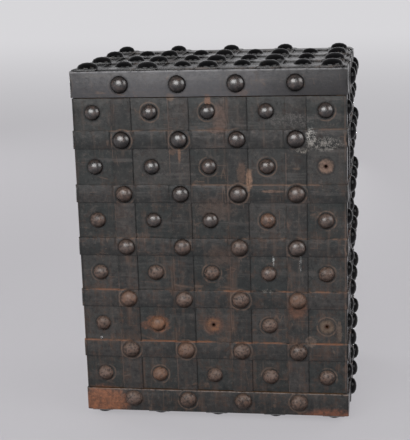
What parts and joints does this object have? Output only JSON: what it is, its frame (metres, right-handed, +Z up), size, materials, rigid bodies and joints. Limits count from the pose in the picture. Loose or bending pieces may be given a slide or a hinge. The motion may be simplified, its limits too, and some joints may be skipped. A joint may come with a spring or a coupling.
{
  "type": "hobnail strongbox",
  "caption": "Upright oak strongbox clad in sheet iron with a lattice of straps and domed nails, a pivoting door, sliding bolts and a nail that swings aside over the keyhole.",
  "frame": {"origin": "on the floor, under the middle of the box", "axes": "+X to the right of the front, +Y to the back, +Z up; the door is on -Y"},
  "size_m": [0.6362, 0.4962, 0.8198],
  "materials": {
    "blackened_iron": "semi-gloss black over hammered iron",
    "worn_rusty_iron": "worn dark iron with brown rust",
    "oak": "old oiled oak",
    "bare_iron": "oiled bare iron"
  },
  "bodies": {
    "case": {"top_sheet": "blackened_iron", "bottom_sheet": "blackened_iron", "left_sheet": "blackened_iron", "right_sheet": "blackened_iron", "back_sheet": "blackened_iron", "top_strap_lattice": "blackened_iron", "bottom_strap_lattice": "blackened_iron", "left_upright_strap_1": "blackened_iron", "left_upright_strap_2": "blackened_iron", "left_upright_strap_3": "blackened_iron", "right_upright_strap_1": "blackened_iron", "right_upright_strap_2": "blackened_iron", "right_upright_strap_3": "blackened_iron", "back_upright_strap_1": "blackened_iron", "back_upright_strap_2": "blackened_iron", "back_upright_strap_3": "blackened_iron", "back_upright_strap_4": "blackened_iron", "hoop_2": "blackened_iron", "hoop_3": "blackened_iron", "hoop_4": "blackened_iron", "hoop_5": "blackened_iron", "hoop_6": "blackened_iron", "head_hoop": "worn_rusty_iron", "sill_hoop": "worn_rusty_iron", "top_board": "oak", "bottom_board": "oak", "left_board": "oak", "right_board": "oak", "back_board": "oak", "shelf": "oak", "left_shelf_ledge": "oak", "right_shelf_ledge": "oak", "strike_plate": "bare_iron", "upper_pivot_socket": "bare_iron", "lower_pivot_socket": "bare_iron"},
    "door": {"door_board": "oak", "door_sheet": "worn_rusty_iron", "hinge_edge_plate": "worn_rusty_iron", "door_lining": "bare_iron", "door_upright_strap_1": "worn_rusty_iron", "door_upright_strap_2": "worn_rusty_iron", "door_upright_strap_3": "worn_rusty_iron", "door_upright_strap_4": "worn_rusty_iron", "door_cross_strap_1": "worn_rusty_iron", "door_cross_strap_2": "worn_rusty_iron", "door_cross_strap_3": "worn_rusty_iron", "door_cross_strap_4": "worn_rusty_iron", "door_cross_strap_5": "worn_rusty_iron", "upper_pivot_pin": "bare_iron", "lower_pivot_pin": "bare_iron", "lock_case": "bare_iron", "lower_bolt_guide": "bare_iron", "upper_bolt_guide": "bare_iron"},
    "boltwork": {"bolt_bar": "bare_iron", "lower_bolt": "bare_iron", "middle_bolt": "bare_iron", "upper_bolt": "bare_iron"},
    "keyhole_cover": {"keyhole_stud": "worn_rusty_iron"}
  },
  "joints": [
    {"name": "door_hinge", "type": "hinge", "parent": "case", "child": "door", "pos_m": [-0.28, -0.21, 0.407], "axis": [0, 0, -1], "range_deg": [0, 110]},
    {"name": "bolt_throw", "type": "slide", "parent": "door", "child": "boltwork", "axis": [1, 0, 0], "range_m": [0, 0.022]},
    {"name": "stud_swivel", "type": "hinge", "parent": "door", "child": "keyhole_cover", "pos_m": [0.19125, -0.23, 0.4235], "axis": [0, -1, 0], "range_deg": [-120, 120]}
  ]
}
